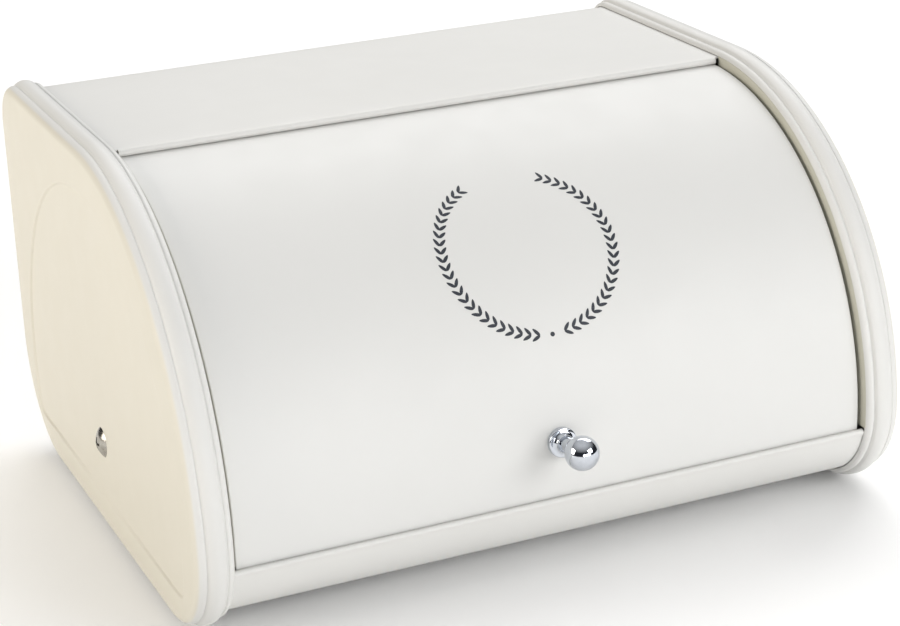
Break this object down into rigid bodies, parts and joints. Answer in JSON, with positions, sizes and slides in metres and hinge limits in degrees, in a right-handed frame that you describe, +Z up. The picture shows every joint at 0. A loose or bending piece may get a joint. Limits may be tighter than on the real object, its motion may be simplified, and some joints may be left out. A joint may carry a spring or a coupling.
{
  "type": "roll-top bread box",
  "caption": "Sheet-steel bread box with beaded end panels and a curved roll-top lid that turns on side pivots and lifts by a small ball knob.",
  "frame": {"origin": "on the worktop, at the middle of the space that the closed box and its knob take", "axes": "+X to the right along the width, -Y out of the front, where the knob is, +Z up"},
  "size_m": [0.3376, 0.2984, 0.186],
  "materials": {
    "body_paint": "satin cream powder coat",
    "lid_paint": "satin cream powder coat",
    "chrome": "polished",
    "zinc": "zinc plated",
    "nylon": "natural nylon",
    "rubber": "matte black"
  },
  "bodies": {
    "box": {"left_end_panel": "body_paint", "right_end_panel": "body_paint", "body_wrap": "body_paint", "left_pivot_screw": "chrome", "right_pivot_screw": "chrome", "left_pivot_bushing": "nylon", "right_pivot_bushing": "nylon", "left_pivot_washer": "zinc", "right_pivot_washer": "zinc", "left_pivot_nut": "zinc", "right_pivot_nut": "zinc", "left_closed_stop": "rubber", "right_closed_stop": "rubber", "left_open_stop": "rubber", "right_open_stop": "rubber", "front_left_foot": "rubber", "front_right_foot": "rubber", "rear_left_foot": "rubber", "rear_right_foot": "rubber"},
    "lid": {"lid_panel": "lid_paint", "left_lid_plate": "lid_paint", "right_lid_plate": "lid_paint", "knob": "chrome", "knob_screw": "zinc", "knob_washer": "zinc"}
  },
  "joints": [
    {"name": "lid_roll", "type": "hinge", "parent": "box", "child": "lid", "pos_m": [0, 0.00917, 0.046], "axis": [-1, 0, 0], "range_deg": [0, 76]}
  ]
}
